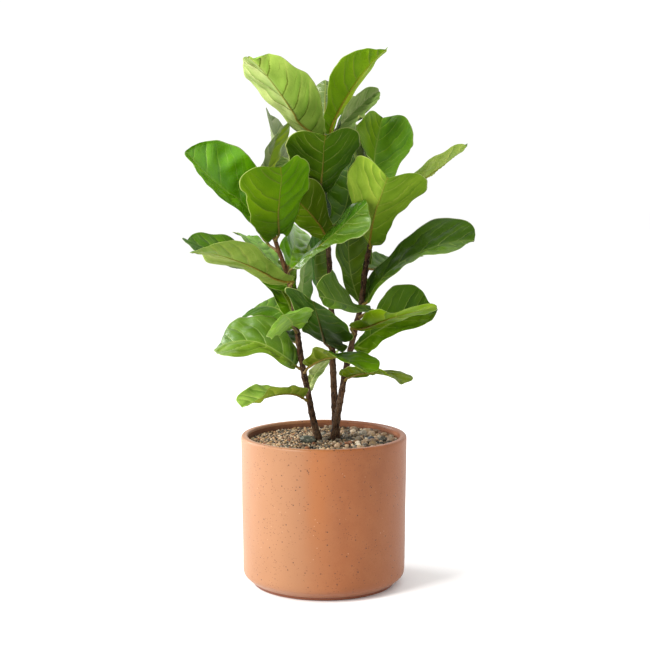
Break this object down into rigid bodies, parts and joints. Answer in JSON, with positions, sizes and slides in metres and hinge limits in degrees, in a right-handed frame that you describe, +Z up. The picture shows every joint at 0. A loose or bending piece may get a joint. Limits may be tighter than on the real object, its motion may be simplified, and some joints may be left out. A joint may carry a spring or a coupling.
{
  "type": "potted fiddle leaf fig",
  "caption": "Fiddle leaf fig with upright woody stems and large leathery leaves, planted in a round terracotta pot under a gravel topping; stands free on its base.",
  "frame": {"origin": "centre of the pot's flat underside", "axes": "+Z up along the pot's axis; -Y towards the front of the plant, +X to the viewer's right"},
  "size_m": [0.5176, 0.4417, 0.9578],
  "materials": {
    "terracotta": "matte unglazed, speckled",
    "potting_mix": "loose, dark",
    "gravel": "rounded mixed pebbles",
    "bark": "rough thin bark",
    "leaf_mature": "leathery, glossy above, matte below",
    "leaf_young": "leathery, lighter green"
  },
  "bodies": {
    "root": {"pot": "terracotta", "potting_mix": "potting_mix", "gravel_topping": "gravel", "stem_left": "bark", "stem_centre": "bark", "stem_right": "bark", "leaf_left_01": "leaf_young", "leaf_left_02": "leaf_mature", "leaf_left_03": "leaf_mature", "leaf_left_04": "leaf_mature", "leaf_left_05": "leaf_mature", "leaf_left_06": "leaf_mature", "leaf_left_07": "leaf_mature", "leaf_left_08": "leaf_mature", "leaf_left_09": "leaf_mature", "leaf_left_10": "leaf_mature", "leaf_left_11": "leaf_mature", "leaf_left_12": "leaf_mature", "leaf_left_13": "leaf_mature", "leaf_left_14": "leaf_mature", "leaf_left_15": "leaf_mature", "leaf_left_16": "leaf_mature", "leaf_left_17": "leaf_mature", "leaf_left_18": "leaf_young", "leaf_left_19": "leaf_mature", "leaf_centre_01": "leaf_young", "leaf_centre_02": "leaf_young", "leaf_centre_03": "leaf_mature", "leaf_centre_04": "leaf_mature", "leaf_centre_05": "leaf_mature", "leaf_centre_06": "leaf_mature", "leaf_centre_07": "leaf_mature", "leaf_centre_08": "leaf_mature", "leaf_centre_09": "leaf_mature", "leaf_centre_10": "leaf_mature", "leaf_centre_11": "leaf_mature", "leaf_right_01": "leaf_mature", "leaf_right_02": "leaf_mature", "leaf_right_03": "leaf_mature", "leaf_right_04": "leaf_mature", "leaf_right_05": "leaf_young", "leaf_right_06": "leaf_mature", "leaf_right_07": "leaf_mature", "leaf_right_08": "leaf_mature", "leaf_right_09": "leaf_mature", "leaf_right_10": "leaf_mature", "leaf_right_11": "leaf_mature", "leaf_right_12": "leaf_mature"}
  },
  "joints": []
}
